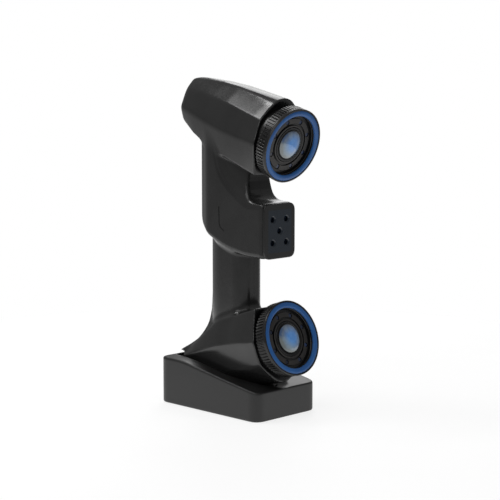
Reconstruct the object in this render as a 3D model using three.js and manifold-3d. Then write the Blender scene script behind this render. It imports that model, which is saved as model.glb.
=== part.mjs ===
// A handheld laser scanner with two camera heads, standing in a wedge-shaped cradle.
// Millimetres. +Z is up, the lenses look towards -Y, and the object is symmetric about X = 0.
// The origin is on the floor, under the middle of the object's box.

import * as THREE from "three";
import { mergeVertices } from "three/addons/utils/BufferGeometryUtils.js";
import Module from "manifold-3d";

// ---------------------------------------------------------------- driving dimensions

const WALL = 2.6; // moulded walls of the scanner's housing
const GAP = 0.3; // between pieces that touch
const SEAM = 0.15; // each housing half stops this far from X = 0

// The two heads are mirror images. Their lens axes converge in front of the scanner.
const HEAD_TILT = THREE.MathUtils.degToRad(17.2);
const BASELINE = 183.2; // from one ring's front centre to the other's
const MIRROR_Z = 170.1; // height of the plane that the heads mirror in
const FACE_Y = -66.7; // ring front centres

// A head's own frame: s runs back along the lens axis from the ring's front, and w is across
// it, away from the other head. Each station gives s, then half of the head's outline there:
// the corner points [x, w] from the outer side, round the widest point, to the inner side.
// The lower head's inner side falls away sooner, so its last corner has a height of its own.
const HEAD_FRONT = 17.3;
const HEAD_BROW = 0.31; // the outer half of the rim stands upright, so it leans in this frame
const HEAD_TAIL = 0.31; // and so does the whole rear end
const HEAD_ROUND = 3; // set-back at each corner
const HEAD_STATIONS = [
  { s: HEAD_FRONT, outline: [[11.2, 35.2], [28.9, 19.4], [36, -2], [25, -34.5]], lower: -34.5 },
  { s: 31, outline: [[10.8, 35.1], [28.2, 19.1], [34.3, -3.5], [24, -34.3]], lower: -34.3 },
  { s: 45, outline: [[10.4, 34.6], [26.8, 18.6], [32.2, -5.5], [22.6, -33.9]], lower: -33.9 },
  { s: 75, outline: [[9.7, 33], [23.4, 18.2], [28, -8], [19.4, -33.3]], lower: -31.5 },
  { s: 97, outline: [[9.1, 30.8], [20.6, 16.4], [24.6, -8.2], [17, -31.8]], lower: -27 },
  { s: 120, outline: [[8.4, 27.3], [17.8, 14], [21.2, -7.9], [14.4, -27.4]], lower: -19 },
  { s: 131, outline: [[8, 25.2], [16.4, 12.4], [19.4, -7.9], [12.6, -23.8]], lower: -15.5 },
  { s: 141, outline: [[6.6, 20.4], [13.6, 10], [16.4, -7.6], [9.6, -17]], lower: -12 },
];

// Bezel ring, collar and lens, all round the lens axis.
const RING = { outer: 36.5, inner: 29.4, groove: 30.2, rim: 34.9, front: 3.4, back: 13.4 };
const KNURL = { teeth: 72, root: 34.9, tip: 36.3, fill: 0.6 };
const COLLAR = { land: 33.2, neck: 30.7, bore: 29.2, front: 4, step: 12.4, back: 33 };
const LENS = { barrel: 17, glass: 13.4, front: 3 };
const LAMP = { count: 8, circle: 23.4, hole: 2.3, radius: 1.9 };

// Middle of the scanner: wings with the block, a narrower core above the block, and the grip.
const WING_HALF = 21.2;
const PLATE_FRONT = -50.1;
const PLATE_THICK = 2.3;
const BLOCK = { low: 153.6, high: 206.6, front: PLATE_FRONT + PLATE_THICK + GAP };
const SPINE_Y = 45;
const WING_SIDE = [
  [BLOCK.front, BLOCK.low, 4],
  [BLOCK.front, BLOCK.high, 4],
  [-26, 206, 5],
  [-8, 217, 8],
  [6.5, 229, 8],
  [14, 243, 8],
  [16.5, 258, 6],
  [20, 275, 0],
  [SPINE_Y, 284, 0],
  [SPINE_Y, 183, 10],
  [30, 173.5, 8],
  [4, 161, 12],
  [-22, 155, 8],
];
const WING_PLAN = [
  [WING_HALF, -60, 0],
  [WING_HALF, 28.3, 4],
  [12, SPINE_Y, 4],
  [-12, SPINE_Y, 4],
  [-WING_HALF, 28.3, 4],
  [-WING_HALF, -60, 0],
];
const CORE_HALF = 14.5;
const CORE_SIDE = [
  [-40, BLOCK.high - 1, 0],
  [-25, BLOCK.high + 2, 8],
  [-21.8, 228, 8],
  [-21.8, 275, 0],
  [30, 275, 0],
  [30, 190, 0],
  [-40, 190, 0],
];
const GRIP_PLAN = [
  [6.4, -14.2, 2],
  [17.3, -6.2, 5],
  [17.3, 20, 7],
  [10, 33.5, 7],
  [-10, 33.5, 7],
  [-17.3, 20, 7],
  [-17.3, -6.2, 5],
  [-6.4, -14.2, 2],
];
const GRIP = { low: 60, high: 182 };
const HEEL_HALF = 10;
const HEEL_SIDE = [
  [24, 116, 0],
  [33.3, 112, 0],
  [34, 98, 8],
  [38, 80, 8],
  [48, 67, 6],
  [62, 58, 0],
  [40, 50, 0],
];

// Five laser apertures, one in the middle and four round it.
const LASERS = [
  [0, 0],
  [-9.3, 11.2],
  [9.3, 11.2],
  [-9.3, -11.2],
  [9.3, -11.2],
];
const LASER_Z = (BLOCK.low + BLOCK.high) / 2;
const APERTURE = 2.7;
const LASER_RADIUS = 3.1;

// The shelves that hold the camera bodies, in the heads' own frames.
const SHELF = { inner: -17.6, outer: -21.5, front: 34, rear: 76 };

// Thumb keys on the spine.
const KEY_TOP = 1.3; // how far a key stands out of its bezel
const KEY_PLATE = { half: 9.4, low: 192, high: 252, thick: 1.2 };
const KEYS = [
  { name: "scan_key", z: 222, radius: 6.4 },
  { name: "plus_key", z: 237.5, radius: 4.2 },
  { name: "minus_key", z: 206.5, radius: 4.2 },
];
const STATUS_Z = 247;

// The cable socket points back and up, square to the heel's slope.
const SOCKET = { y: 36.6, z: 88, outer: 6.6, flange: 7.8, bore: 5, depth: 9 };
const SOCKET_TILT = THREE.MathUtils.degToRad(13);

// Housing screws run along X, in from the right half. head is where the screw's head sits.
const SHELL_SCREWS = [
  { y: 40, z: 292, head: 11 },
  { y: 44, z: 44, head: 11 },
  { y: 30.5, z: 240, head: 9 },
  { y: -24, z: 163, head: 9 },
  { y: 24.5, z: 140, head: 9 },
  { y: -2, z: 95, head: 9 },
];
const SCREW = { head: 2.8, headHeight: 2.6, shank: 1.5, reach: -9 };
const BOSS = { outer: 4.2, bore: 1.8, counterbore: 3.2 };

// Cradle.
const CRADLE = { half: 42.3, front: -60.7, rear: 77.4, low: 1, wall: 3, corner: 15 };
const CRADLE_FRONT_Z = 28.6;
const CRADLE_REAR_Z = 46.4;
const CRADLE_BEND_Y = 45;
const POCKET_GAP = 4.4;
const LINER_DEPTH = 5; // the liner starts this far below the cradle's top
const COVER = { low: 1, high: 3.4, inset: 3.4 };
const FOOT = { radius: 6, high: 1.7, x: 31, front: -49, rear: 66 };
const COVER_SCREW = { x: 33, front: -36, rear: 50, head: 2.6, shank: 1.4, top: 12 };
const BALLAST = { half: 27, front: -50, rear: -8, low: 4.5, high: 13 };

const ROUND = 24; // sides of a large round piece
const SMALL_ROUND = 8;
const OUTER_STEPS = 1; // straight pieces in a rounded corner of the housing
const INNER_STEPS = 1; // the same on its hidden inside

// ---------------------------------------------------------------- solids and outlines

const manifold = await Module();
manifold.setup();

function toSolid(geometry) {
  const bare = geometry.index ? geometry.toNonIndexed() : geometry.clone();
  bare.deleteAttribute("normal");
  bare.deleteAttribute("uv");
  const merged = mergeVertices(bare, 1e-4);
  const mesh = new manifold.Mesh({
    numProp: 3,
    vertProperties: merged.attributes.position.array,
    triVerts: new Uint32Array(merged.index.array),
  });
  return new manifold.Manifold(mesh);
}

function toGeometry(solid) {
  const mesh = solid.getMesh();
  const shared = new THREE.BufferGeometry();
  shared.setAttribute("position", new THREE.BufferAttribute(mesh.vertProperties, 3));
  shared.setIndex(new THREE.BufferAttribute(mesh.triVerts, 1));
  const flat = shared.toNonIndexed();
  flat.computeVertexNormals();
  return flat;
}

function join(...solids) {
  return solids.reduce((whole, next) => whole.add(next));
}

function cut(solid, ...tools) {
  return tools.reduce((rest, tool) => rest.subtract(tool), solid);
}

// Moves every side of an outline inwards by a distance, or outwards where it is negative.
function inset(corners, distance) {
  const points = corners.map(([a, b]) => new THREE.Vector2(a, b));
  const turn = Math.sign(THREE.ShapeUtils.area(points));
  const normalAfter = (i) => {
    const next = points[(i + 1) % points.length];
    const along = next.clone().sub(points[i]).normalize();
    return new THREE.Vector2(-along.y, along.x).multiplyScalar(turn);
  };
  return corners.map(([a, b, round], i) => {
    const before = normalAfter((i + points.length - 1) % points.length);
    const after = normalAfter(i);
    const reach = distance / (1 + before.dot(after));
    return [a + reach * (before.x + after.x), b + reach * (before.y + after.y), round];
  });
}

// A closed outline. A corner is [a, b, set-back], and is rounded over its set-back.
function roundedShape(corners) {
  const shape = new THREE.Shape();
  const point = (i) => new THREE.Vector2(...corners.at(i % corners.length));
  corners.forEach(([a, b, setBack], i) => {
    const corner = new THREE.Vector2(a, b);
    const towards = (other) => {
      const reach = Math.min(setBack, 0.45 * corner.distanceTo(other));
      return corner.clone().lerp(other, reach / corner.distanceTo(other));
    };
    const start = towards(point(i - 1));
    const end = towards(point(i + 1));
    if (i === 0) shape.moveTo(start.x, start.y);
    else shape.lineTo(start.x, start.y);
    if (setBack > 0) shape.quadraticCurveTo(a, b, end.x, end.y);
  });
  shape.closePath();
  return shape;
}

function circleShape(radius, x = 0, y = 0) {
  const shape = new THREE.Shape();
  shape.absarc(x, y, radius, 0, 2 * Math.PI);
  return shape;
}

function extruded(shape, depth, curveSegments = 3) {
  return new THREE.ExtrudeGeometry(shape, { depth, curveSegments, bevelEnabled: false });
}

// An outline in Y and Z, swept from X = low to X = high.
function sweptX(shape, low, high, curveSegments) {
  const axes = new THREE.Matrix4().set(0, 0, 1, low, 1, 0, 0, 0, 0, 1, 0, 0, 0, 0, 0, 1);
  return extruded(shape, high - low, curveSegments).applyMatrix4(axes);
}

// An outline in X and Z, swept from Y = low to Y = high.
function sweptY(shape, low, high, curveSegments) {
  const axes = new THREE.Matrix4().set(1, 0, 0, 0, 0, 0, -1, high, 0, 1, 0, 0, 0, 0, 0, 1);
  return extruded(shape, high - low, curveSegments).applyMatrix4(axes);
}

// An outline in X and Y, swept from Z = low to Z = high.
function sweptZ(shape, low, high, curveSegments) {
  return extruded(shape, high - low, curveSegments).translate(0, 0, low);
}

function box(low, high) {
  const size = high.map((value, i) => value - low[i]);
  const centre = high.map((value, i) => (value + low[i]) / 2);
  return new THREE.BoxGeometry(...size).translate(...centre);
}

// A solid turned about the Y axis. A profile point is [radius, y], in either order.
function turnedY(profile, sides = ROUND) {
  const points = profile.map(([radius, y]) => new THREE.Vector2(radius, y));
  if (THREE.ShapeUtils.area(points) < 0) points.reverse();
  const closesOnAxis = points[0].x === 0 && points.at(-1).x === 0;
  if (!closesOnAxis) points.push(points[0].clone());
  return new THREE.LatheGeometry(points, sides);
}

function cylinderX(radius, low, high, y, z, sides = SMALL_ROUND) {
  const geometry = new THREE.CylinderGeometry(radius, radius, high - low, sides);
  return geometry.rotateZ(Math.PI / 2).translate((low + high) / 2, y, z);
}

function cylinderY(radius, low, high, x, z, sides = SMALL_ROUND) {
  const geometry = new THREE.CylinderGeometry(radius, radius, high - low, sides);
  return geometry.translate(x, (low + high) / 2, z);
}

function cylinderZ(radius, low, high, x, y, sides = SMALL_ROUND) {
  const geometry = new THREE.CylinderGeometry(radius, radius, high - low, sides);
  return geometry.rotateX(Math.PI / 2).translate(x, y, (low + high) / 2);
}

// ---------------------------------------------------------------- scene helpers

const finish = {
  housing: { color: 0x2b2b2c, roughness: 0.32, metalness: 0 },
  black: { color: 0x141415, roughness: 0.5, metalness: 0 },
  accent: { color: 0x2456a8, roughness: 0.4, metalness: 0.2 },
  coatedGlass: { color: 0x6f9fd8, roughness: 0.05, metalness: 0 },
  plate: { color: 0x1d222b, roughness: 0.35, metalness: 0 },
  board: { color: 0x1f5b3a, roughness: 0.6, metalness: 0 },
  aluminium: { color: 0xa9adb2, roughness: 0.4, metalness: 1 },
  brass: { color: 0xb58f4a, roughness: 0.35, metalness: 1 },
  steel: { color: 0x8c8f93, roughness: 0.35, metalness: 1 },
  rubber: { color: 0x161616, roughness: 0.9, metalness: 0 },
  key: { color: 0x3a3d42, roughness: 0.6, metalness: 0 },
  light: { color: 0x8fd3ff, roughness: 0.3, metalness: 0 },
};

function mesh(name, geometry, look) {
  const made = new THREE.Mesh(geometry, new THREE.MeshStandardMaterial(look));
  made.name = name;
  return made;
}

const scanner = new THREE.Group();
const cradle = new THREE.Group();

// ---------------------------------------------------------------- scanner housing

function headMatrix(side) {
  const place = new THREE.Matrix4().makeTranslation(0, FACE_Y, MIRROR_Z + (side * BASELINE) / 2);
  return place.multiply(new THREE.Matrix4().makeRotationX(side * HEAD_TILT));
}

function cornerSteps(distance) {
  return distance > 0 ? INNER_STEPS : OUTER_STEPS;
}

// The outline of a head at one station, moved inwards by a distance, as [x, w] points.
function headOutline({ outline, lower }, side, distance) {
  const [brow, shoulder, widest, inner] = outline;
  const half = [brow, shoulder, widest, side > 0 ? inner : [inner[0], lower]];
  const other = half.map(([x, w]) => [-x, w]).reverse();
  const corners = [...half, ...other].map(([x, w]) => [x, w, HEAD_ROUND]);
  return roundedShape(inset(corners, distance)).getPoints(cornerSteps(distance));
}

// The outside of one head, moved inwards by a distance. side is 1 for the upper head.
function headBody(side, distance) {
  const last = HEAD_STATIONS.length - 1;
  const outlines = HEAD_STATIONS.map((station) => headOutline(station, side, distance));
  const corners = HEAD_STATIONS.flatMap(({ s }, i) =>
    outlines[i].map(({ x, y: w }) => {
      if (i === 0) return [x, s + distance + HEAD_BROW * Math.max(0, w), side * w];
      if (i === last) return [x, s - distance + HEAD_TAIL * w, side * w];
      return [x, s, side * w];
    }),
  );
  const count = outlines[0].length;
  const faces = [];
  for (let i = 0; i < count; i++) {
    const next = (i + 1) % count;
    for (let row = 0; row < last; row++) {
      const [a, b] = [row * count + i, row * count + next];
      faces.push(a, b, b + count, a, b + count, a + count);
    }
    if (i > 0 && next > 0) faces.push(0, next, i);
    const end = last * count;
    if (i > 0 && next > 0) faces.push(end, end + i, end + next);
  }
  if (side < 0) faces.reverse(); // mirrored, so that the faces still point out
  const geometry = new THREE.BufferGeometry();
  geometry.setAttribute("position", new THREE.Float32BufferAttribute(corners.flat(), 3));
  geometry.setIndex(faces);
  return toSolid(geometry.applyMatrix4(headMatrix(side)));
}

function socketMatrix() {
  const place = new THREE.Matrix4().makeTranslation(0, SOCKET.y, SOCKET.z);
  return place.multiply(new THREE.Matrix4().makeRotationX(SOCKET_TILT));
}

function wingBody(distance) {
  const half = WING_HALF - distance;
  const steps = cornerSteps(distance);
  const profile = sweptX(roundedShape(inset(WING_SIDE, distance)), -half, half, steps);
  const plan = sweptZ(roundedShape(inset(WING_PLAN, distance)), 120, 320, steps);
  return toSolid(profile).intersect(toSolid(plan));
}

function coreBody(distance) {
  const half = CORE_HALF - distance;
  const profile = roundedShape(inset(CORE_SIDE, distance));
  return toSolid(sweptX(profile, -half, half, cornerSteps(distance)));
}

function gripBody(distance) {
  const plan = roundedShape(inset(GRIP_PLAN, distance));
  return toSolid(sweptZ(plan, GRIP.low + distance, GRIP.high - distance, cornerSteps(distance)));
}

function heelBody(distance) {
  const half = HEEL_HALF - distance;
  const profile = roundedShape(inset(HEEL_SIDE, distance));
  return toSolid(sweptX(profile, -half, half, cornerSteps(distance)));
}

function housingBody(distance) {
  return join(
    headBody(1, distance),
    headBody(-1, distance),
    wingBody(distance),
    coreBody(distance),
    gripBody(distance),
    heelBody(distance),
  );
}

// The openings in the housing: lens necks, laser window, keys, socket and screw ways.
function housingOpenings() {
  const lensHole = (side) => {
    const hole = cylinderY(COLLAR.neck + 0.5, 0, COLLAR.back + 1, 0, 0, ROUND);
    return toSolid(hole.applyMatrix4(headMatrix(side)));
  };
  const laserWindow = box([-16, BLOCK.front - 5, LASER_Z - 18], [16, -30, LASER_Z + 18]);
  const keyWindow = box([-7.2, SPINE_Y - 8, 198], [7.2, SPINE_Y + 5, 250.5]);
  const { outer, flange } = SOCKET;
  const socketHole = cylinderY(outer + GAP, -12, 20, 0, 0, 20).applyMatrix4(socketMatrix());
  const socketSeat = cylinderY(flange + GAP, -1.5, 20, 0, 0, 20).applyMatrix4(socketMatrix());
  const openings = [laserWindow, keyWindow, socketHole, socketSeat].map(toSolid);
  return [lensHole(1), lensHole(-1), ...openings];
}

function screwBoss({ y, z }) {
  return toSolid(cylinderX(BOSS.outer, -60, 60, y, z));
}

function screwWay({ y, z, head }) {
  const way = toSolid(cylinderX(BOSS.bore, SCREW.reach - 2, 60, y, z));
  return way.add(toSolid(cylinderX(BOSS.counterbore, head, 60, y, z)));
}

function buildHousing() {
  const outside = housingBody(0);
  const inside = housingBody(WALL);
  const bosses = join(...SHELL_SCREWS.map(screwBoss)).intersect(outside);
  const hollow = cut(outside, inside).add(bosses);
  const whole = cut(hollow, ...housingOpenings(), ...SHELL_SCREWS.map(screwWay));
  const keep = (low, high) => toSolid(box([low, -120, 0], [high, 120, 360]));
  const left = whole.intersect(keep(-60, -SEAM));
  const right = whole.intersect(keep(SEAM, 60));
  scanner.add(mesh("housing_left", toGeometry(left), finish.housing));
  scanner.add(mesh("housing_right", toGeometry(right), finish.housing));
}

function buildShellScrews() {
  SHELL_SCREWS.forEach(({ y, z, head }, i) => {
    const end = SCREW.reach - head;
    const profile = [
      [0, end],
      [SCREW.shank, end],
      [SCREW.shank, 0.1],
      [SCREW.head, 0.1],
      [SCREW.head, SCREW.headHeight],
      [1.2, SCREW.headHeight],
      [1.2, 1],
      [0, 1],
    ];
    const screw = mesh("shell_screw_" + (i + 1), turnedY(profile, SMALL_ROUND), finish.steel);
    screw.rotation.z = -Math.PI / 2;
    screw.position.set(head, y, z);
    scanner.add(screw);
  });
}

// ---------------------------------------------------------------- camera heads

function bezelRing() {
  const { outer, inner, groove, rim, front, back } = RING;
  const body = [
    [inner, 0.8],
    [groove, 0.8],
    [groove, 2.2],
    [rim, 2.2],
    [rim, 0],
    [outer, 0],
    [outer, front],
    [KNURL.root, front],
    [KNURL.root, back],
    [COLLAR.land + GAP, back],
    [COLLAR.land + GAP, front + 0.2],
    [inner, front + 0.2],
  ];
  const band = new THREE.Shape();
  const pitch = (2 * Math.PI) / KNURL.teeth;
  for (let i = 0; i < KNURL.teeth; i++) {
    const low = (i - KNURL.fill / 2) * pitch;
    const high = (i + KNURL.fill / 2) * pitch;
    const root = KNURL.root - 0.4;
    band.lineTo(root * Math.cos(low), root * Math.sin(low));
    band.lineTo(KNURL.tip * Math.cos(low), KNURL.tip * Math.sin(low));
    band.lineTo(KNURL.tip * Math.cos(high), KNURL.tip * Math.sin(high));
    band.lineTo(root * Math.cos(high), root * Math.sin(high));
  }
  band.curves.shift();
  band.closePath();
  band.holes.push(circleShape(KNURL.root - 0.9));
  const teeth = toSolid(sweptY(band, front - 0.1, back - 0.4, ROUND / 2));
  return toGeometry(toSolid(turnedY(body)).add(teeth));
}

function ringPoints(count, radius) {
  return Array.from({ length: count }, (_, i) => {
    const angle = (2 * Math.PI * (i + 0.5)) / count;
    return [radius * Math.cos(angle), radius * Math.sin(angle)];
  });
}

// The dark recessed face round the lens, with a hole for each lamp.
function lampFace() {
  const low = 5;
  const high = 6.8;
  const ring = turnedY([
    [LENS.barrel + GAP, low],
    [COLLAR.bore - GAP, low],
    [COLLAR.bore - GAP, high],
    [LENS.barrel + GAP, high],
  ]);
  const holes = ringPoints(LAMP.count, LAMP.circle).map(([x, w]) =>
    toSolid(cylinderY(LAMP.hole, low - 1, high + 1, x, w, 10)),
  );
  return toGeometry(cut(toSolid(ring), ...holes));
}

function lampBoard() {
  const low = 7.4;
  const high = 9;
  const ring = turnedY([
    [LENS.barrel + 0.6, low],
    [COLLAR.bore - GAP, low],
    [COLLAR.bore - GAP, high],
    [LENS.barrel + 0.6, high],
  ]);
  const lamps = ringPoints(LAMP.count, LAMP.circle).map(([x, w]) =>
    toSolid(cylinderY(LAMP.radius, 5.6, low + 0.4, x, w, 8)),
  );
  return toGeometry(join(toSolid(ring), ...lamps));
}

function lensBarrel() {
  const { barrel, glass, front } = LENS;
  const seat = glass + 1.4;
  return turnedY([
    [seat, front],
    [barrel, front],
    [barrel, 20],
    [15, 20],
    [15, 34],
    [11, 34],
    [11, 13],
    [seat, 13],
  ]);
}

function lensRetainer() {
  const { glass, front } = LENS;
  const lip = glass - 0.7;
  return turnedY([
    [lip, front + 1.8],
    [glass + 1.1, front + 0.6],
    [glass + 1.1, 12.4],
    [glass + GAP, 12.4],
    [glass + GAP, front + 3.2],
    [lip, front + 2.6],
  ]);
}

function lensGlass() {
  const { glass, front } = LENS;
  const rim = front + 3.6;
  const crown = 2.4;
  const steps = 5;
  const profile = [
    [0, rim + 4],
    [glass, rim + 4],
  ];
  for (let i = 0; i <= steps; i++) {
    const radius = glass * (1 - i / steps);
    profile.push([radius, rim - crown * (1 - (radius / glass) ** 2)]);
  }
  return turnedY(profile);
}

function collar() {
  const { land, neck, bore, front, step, back } = COLLAR;
  return turnedY([
    [bore, front],
    [land, front],
    [land, step],
    [neck, step],
    [neck, back],
    [bore, back],
  ]);
}

function cameraBody() {
  const corners = [
    [17, 17, 3],
    [-17, 17, 3],
    [-17, -17, 3],
    [17, -17, 3],
  ];
  return sweptY(roundedShape(corners), 34.4, 62);
}

function buildHead(label, side) {
  const head = new THREE.Group();
  head.position.set(0, FACE_Y, MIRROR_Z + (side * BASELINE) / 2);
  head.rotation.x = side * HEAD_TILT;
  const accent = turnedY([
    [RING.groove + 0.2, 0.4],
    [RING.rim - 0.2, 0.4],
    [RING.rim - 0.2, 2],
    [RING.groove + 0.2, 2],
  ]);
  head.add(mesh(label + "_bezel_ring", bezelRing(), finish.black));
  head.add(mesh(label + "_accent_ring", accent, finish.accent));
  head.add(mesh(label + "_collar", collar(), finish.black));
  head.add(mesh(label + "_lamp_face", lampFace(), finish.black));
  head.add(mesh(label + "_lamp_board", lampBoard(), finish.board));
  head.add(mesh(label + "_lens_barrel", lensBarrel(), finish.black));
  head.add(mesh(label + "_lens_retainer", lensRetainer(), finish.black));
  head.add(mesh(label + "_lens_glass", lensGlass(), finish.coatedGlass));
  head.add(mesh(label + "_camera_body", cameraBody(), finish.aluminium));
  head.add(mesh(label + "_sensor_board", box([-17, 62.4, -17], [17, 64, 17]), finish.board));
  scanner.add(head);
}

// ---------------------------------------------------------------- laser block and front plate

function laserHoles(radius, low, high) {
  return LASERS.map(([x, z]) => toSolid(cylinderY(radius, low, high, x, LASER_Z + z)));
}

function buildLasers() {
  const half = WING_HALF;
  const plateOutline = roundedShape([
    [half, BLOCK.low, 6],
    [half, BLOCK.high, 6],
    [-half, BLOCK.high, 6],
    [-half, BLOCK.low, 6],
  ]);
  const plate = toSolid(sweptY(plateOutline, PLATE_FRONT, PLATE_FRONT + PLATE_THICK, 5));
  const holed = cut(plate, ...laserHoles(APERTURE, -60, -40));
  scanner.add(mesh("front_plate", toGeometry(holed), finish.plate));
  const blockFront = BLOCK.front + 0.4;
  const block = box([-15, blockFront, LASER_Z - 17], [15, -33, LASER_Z + 17]);
  const bored = cut(toSolid(block), ...laserHoles(LASER_RADIUS + GAP, -60, -20));
  scanner.add(mesh("laser_block", toGeometry(bored), finish.aluminium));
  LASERS.forEach(([x, z], i) => {
    const profile = [
      [0, 15],
      [LASER_RADIUS, 15],
      [LASER_RADIUS, 0.4],
      [LASER_RADIUS - 0.4, 0],
      [2.2, 0],
      [2, 0.8],
      [0, 0.5],
    ];
    const laser = mesh("laser_" + (i + 1), turnedY(profile, SMALL_ROUND), finish.brass);
    laser.position.set(x, blockFront, LASER_Z + z);
    scanner.add(laser);
  });
}

// ---------------------------------------------------------------- frame, boards, keys, socket

// The stiff bar that ties both cameras to the laser block.
function buildFrame() {
  const shelf = (side) => {
    const levels = [side * SHELF.outer, side * SHELF.inner].sort((a, b) => a - b);
    const plate = box([-14, SHELF.front, levels[0]], [14, SHELF.rear, levels[1]]);
    return toSolid(plate.applyMatrix4(headMatrix(side)));
  };
  const bar = toSolid(box([-7, 6, 75], [7, 16, 265.2]));
  const arm = toSolid(box([-7, -31.6, 176], [7, 8, 186]));
  const frame = join(bar, arm, shelf(1), shelf(-1));
  scanner.add(mesh("optical_frame", toGeometry(frame), finish.aluminium));
  const mainBoard = box([-8, 19, 172], [8, 20.6, 252]);
  scanner.add(mesh("main_board", mainBoard, finish.board));
}

function buildKeys() {
  const { half, low, high, thick } = KEY_PLATE;
  const plateLow = SPINE_Y + GAP;
  const plateHigh = plateLow + thick;
  const outline = roundedShape([
    [half, low, 6],
    [half, high, 6],
    [-half, high, 6],
    [-half, low, 6],
  ]);
  const plate = toSolid(sweptY(outline, plateLow, plateHigh, 5));
  const keyHoles = KEYS.map(({ z, radius }) =>
    toSolid(cylinderY(radius + GAP, 40, 60, 0, z, 20)),
  );
  const lightHole = toSolid(cylinderY(1.8, 40, 60, 0, STATUS_Z));
  const bezel = cut(plate, ...keyHoles, lightHole);
  scanner.add(mesh("key_bezel", toGeometry(bezel), finish.black));
  KEYS.forEach(({ name, z, radius }) => {
    const profile = [
      [0, 41.5],
      [radius * 0.5, 41.5],
      [radius * 0.5, 43.4],
      [radius, 43.4],
      [radius, plateHigh + KEY_TOP - 0.5],
      [radius - 0.6, plateHigh + KEY_TOP],
      [0, plateHigh + KEY_TOP - 0.3],
    ];
    const key = mesh(name, turnedY(profile, 20), finish.key);
    key.position.z = z;
    scanner.add(key);
  });
  const light = cylinderY(1.5, 41, plateHigh + 0.2, 0, STATUS_Z);
  scanner.add(mesh("status_light", light, finish.light));
  const switchBoard = box([-7, 38, 196], [7, 39.6, 251]);
  scanner.add(mesh("switch_board", switchBoard, finish.board));
}

function buildSocket() {
  const { y, z, outer, flange, bore, depth } = SOCKET;
  const socket = new THREE.Group();
  socket.position.set(0, y, z);
  socket.rotation.x = SOCKET_TILT;
  const shell = [
    [bore, 0],
    [flange, 0],
    [flange, -1.2],
    [outer, -1.2],
    [outer, -depth],
    [bore, -depth],
  ];
  socket.add(mesh("cable_socket", turnedY(shell, 20), finish.steel));
  const disc = toSolid(cylinderY(bore - GAP, -depth, -6.5, 0, 0, 16));
  const contacts = ringPoints(6, 2.7).map(([x, w]) => toSolid(cylinderY(0.6, -8, -6, x, w, 6)));
  socket.add(mesh("socket_insert", toGeometry(cut(disc, ...contacts)), finish.brass));
  scanner.add(socket);
}

// ---------------------------------------------------------------- cradle

const CRADLE_SIDE = [
  [CRADLE.front, CRADLE.low, 0.8],
  [CRADLE.front, CRADLE_FRONT_Z, 1.6],
  [CRADLE_BEND_Y, CRADLE_REAR_Z, 12],
  [CRADLE.rear, CRADLE_REAR_Z, 1.6],
  [CRADLE.rear, CRADLE.low, 0.8],
];

function cradlePlan(distance) {
  const { half, front, rear, corner } = CRADLE;
  return inset(
    [
      [half, front, corner],
      [half, rear, corner],
      [-half, rear, corner],
      [-half, front, corner],
    ],
    distance,
  );
}

function wedge(distance) {
  const reach = CRADLE.half + 10;
  const side = toSolid(sweptX(roundedShape(inset(CRADLE_SIDE, distance)), -reach, reach, 4));
  return side.intersect(toSolid(sweptZ(roundedShape(cradlePlan(distance)), -5, 60, 6)));
}

function atCorners({ x, front, rear }, make) {
  return [
    make(-x, front),
    make(x, front),
    make(-x, rear),
    make(x, rear),
  ];
}

function buildCradle() {
  const { wall, low } = CRADLE;
  const outside = wedge(0);
  const pocket = headBody(-1, -POCKET_GAP);
  const pocketWall = headBody(-1, -POCKET_GAP - wall);
  const skirt = toSolid(sweptZ(roundedShape(cradlePlan(wall)), low - 2, COVER.high + 1, 6));
  const hollow = cut(wedge(wall).add(skirt), pocketWall);
  const bosses = atCorners(COVER_SCREW, (x, y) =>
    toSolid(cylinderZ(4, COVER.high + GAP, 44, x, y)).intersect(outside),
  );
  const bores = atCorners(COVER_SCREW, (x, y) =>
    toSolid(cylinderZ(COVER_SCREW.shank + GAP, 0, COVER_SCREW.top + 2, x, y)),
  );
  const shell = cut(cut(outside, hollow).add(join(...bosses)), pocket, ...bores);
  cradle.add(mesh("cradle_shell", toGeometry(shell), finish.housing));

  const liner = cut(
    headBody(-1, GAP - POCKET_GAP),
    headBody(-1, -GAP),
  ).intersect(wedge(LINER_DEPTH));
  cradle.add(mesh("cradle_liner", toGeometry(liner), finish.rubber));
}

function buildCover() {
  const plan = roundedShape(cradlePlan(COVER.inset));
  const plate = toSolid(sweptZ(plan, COVER.low, COVER.high, 6));
  const seats = atCorners(FOOT, (x, y) =>
    toSolid(cylinderZ(FOOT.radius + GAP, 0, FOOT.high + GAP, x, y, 16)),
  );
  const ways = atCorners(COVER_SCREW, (x, y) =>
    toSolid(cylinderZ(COVER_SCREW.shank + GAP, 0, 10, x, y)).add(
      toSolid(cylinderZ(COVER_SCREW.head + GAP, 0, COVER.low + 1.5, x, y)),
    ),
  );
  const cover = cut(plate, ...seats, ...ways);
  cradle.add(mesh("cradle_cover", toGeometry(cover), finish.black));
  const { half, front, rear, low, high } = BALLAST;
  const outline = roundedShape([
    [half, front, 4],
    [half, rear, 4],
    [-half, rear, 4],
    [-half, front, 4],
  ]);
  cradle.add(mesh("ballast_plate", sweptZ(outline, low, high), finish.steel));
}

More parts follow.
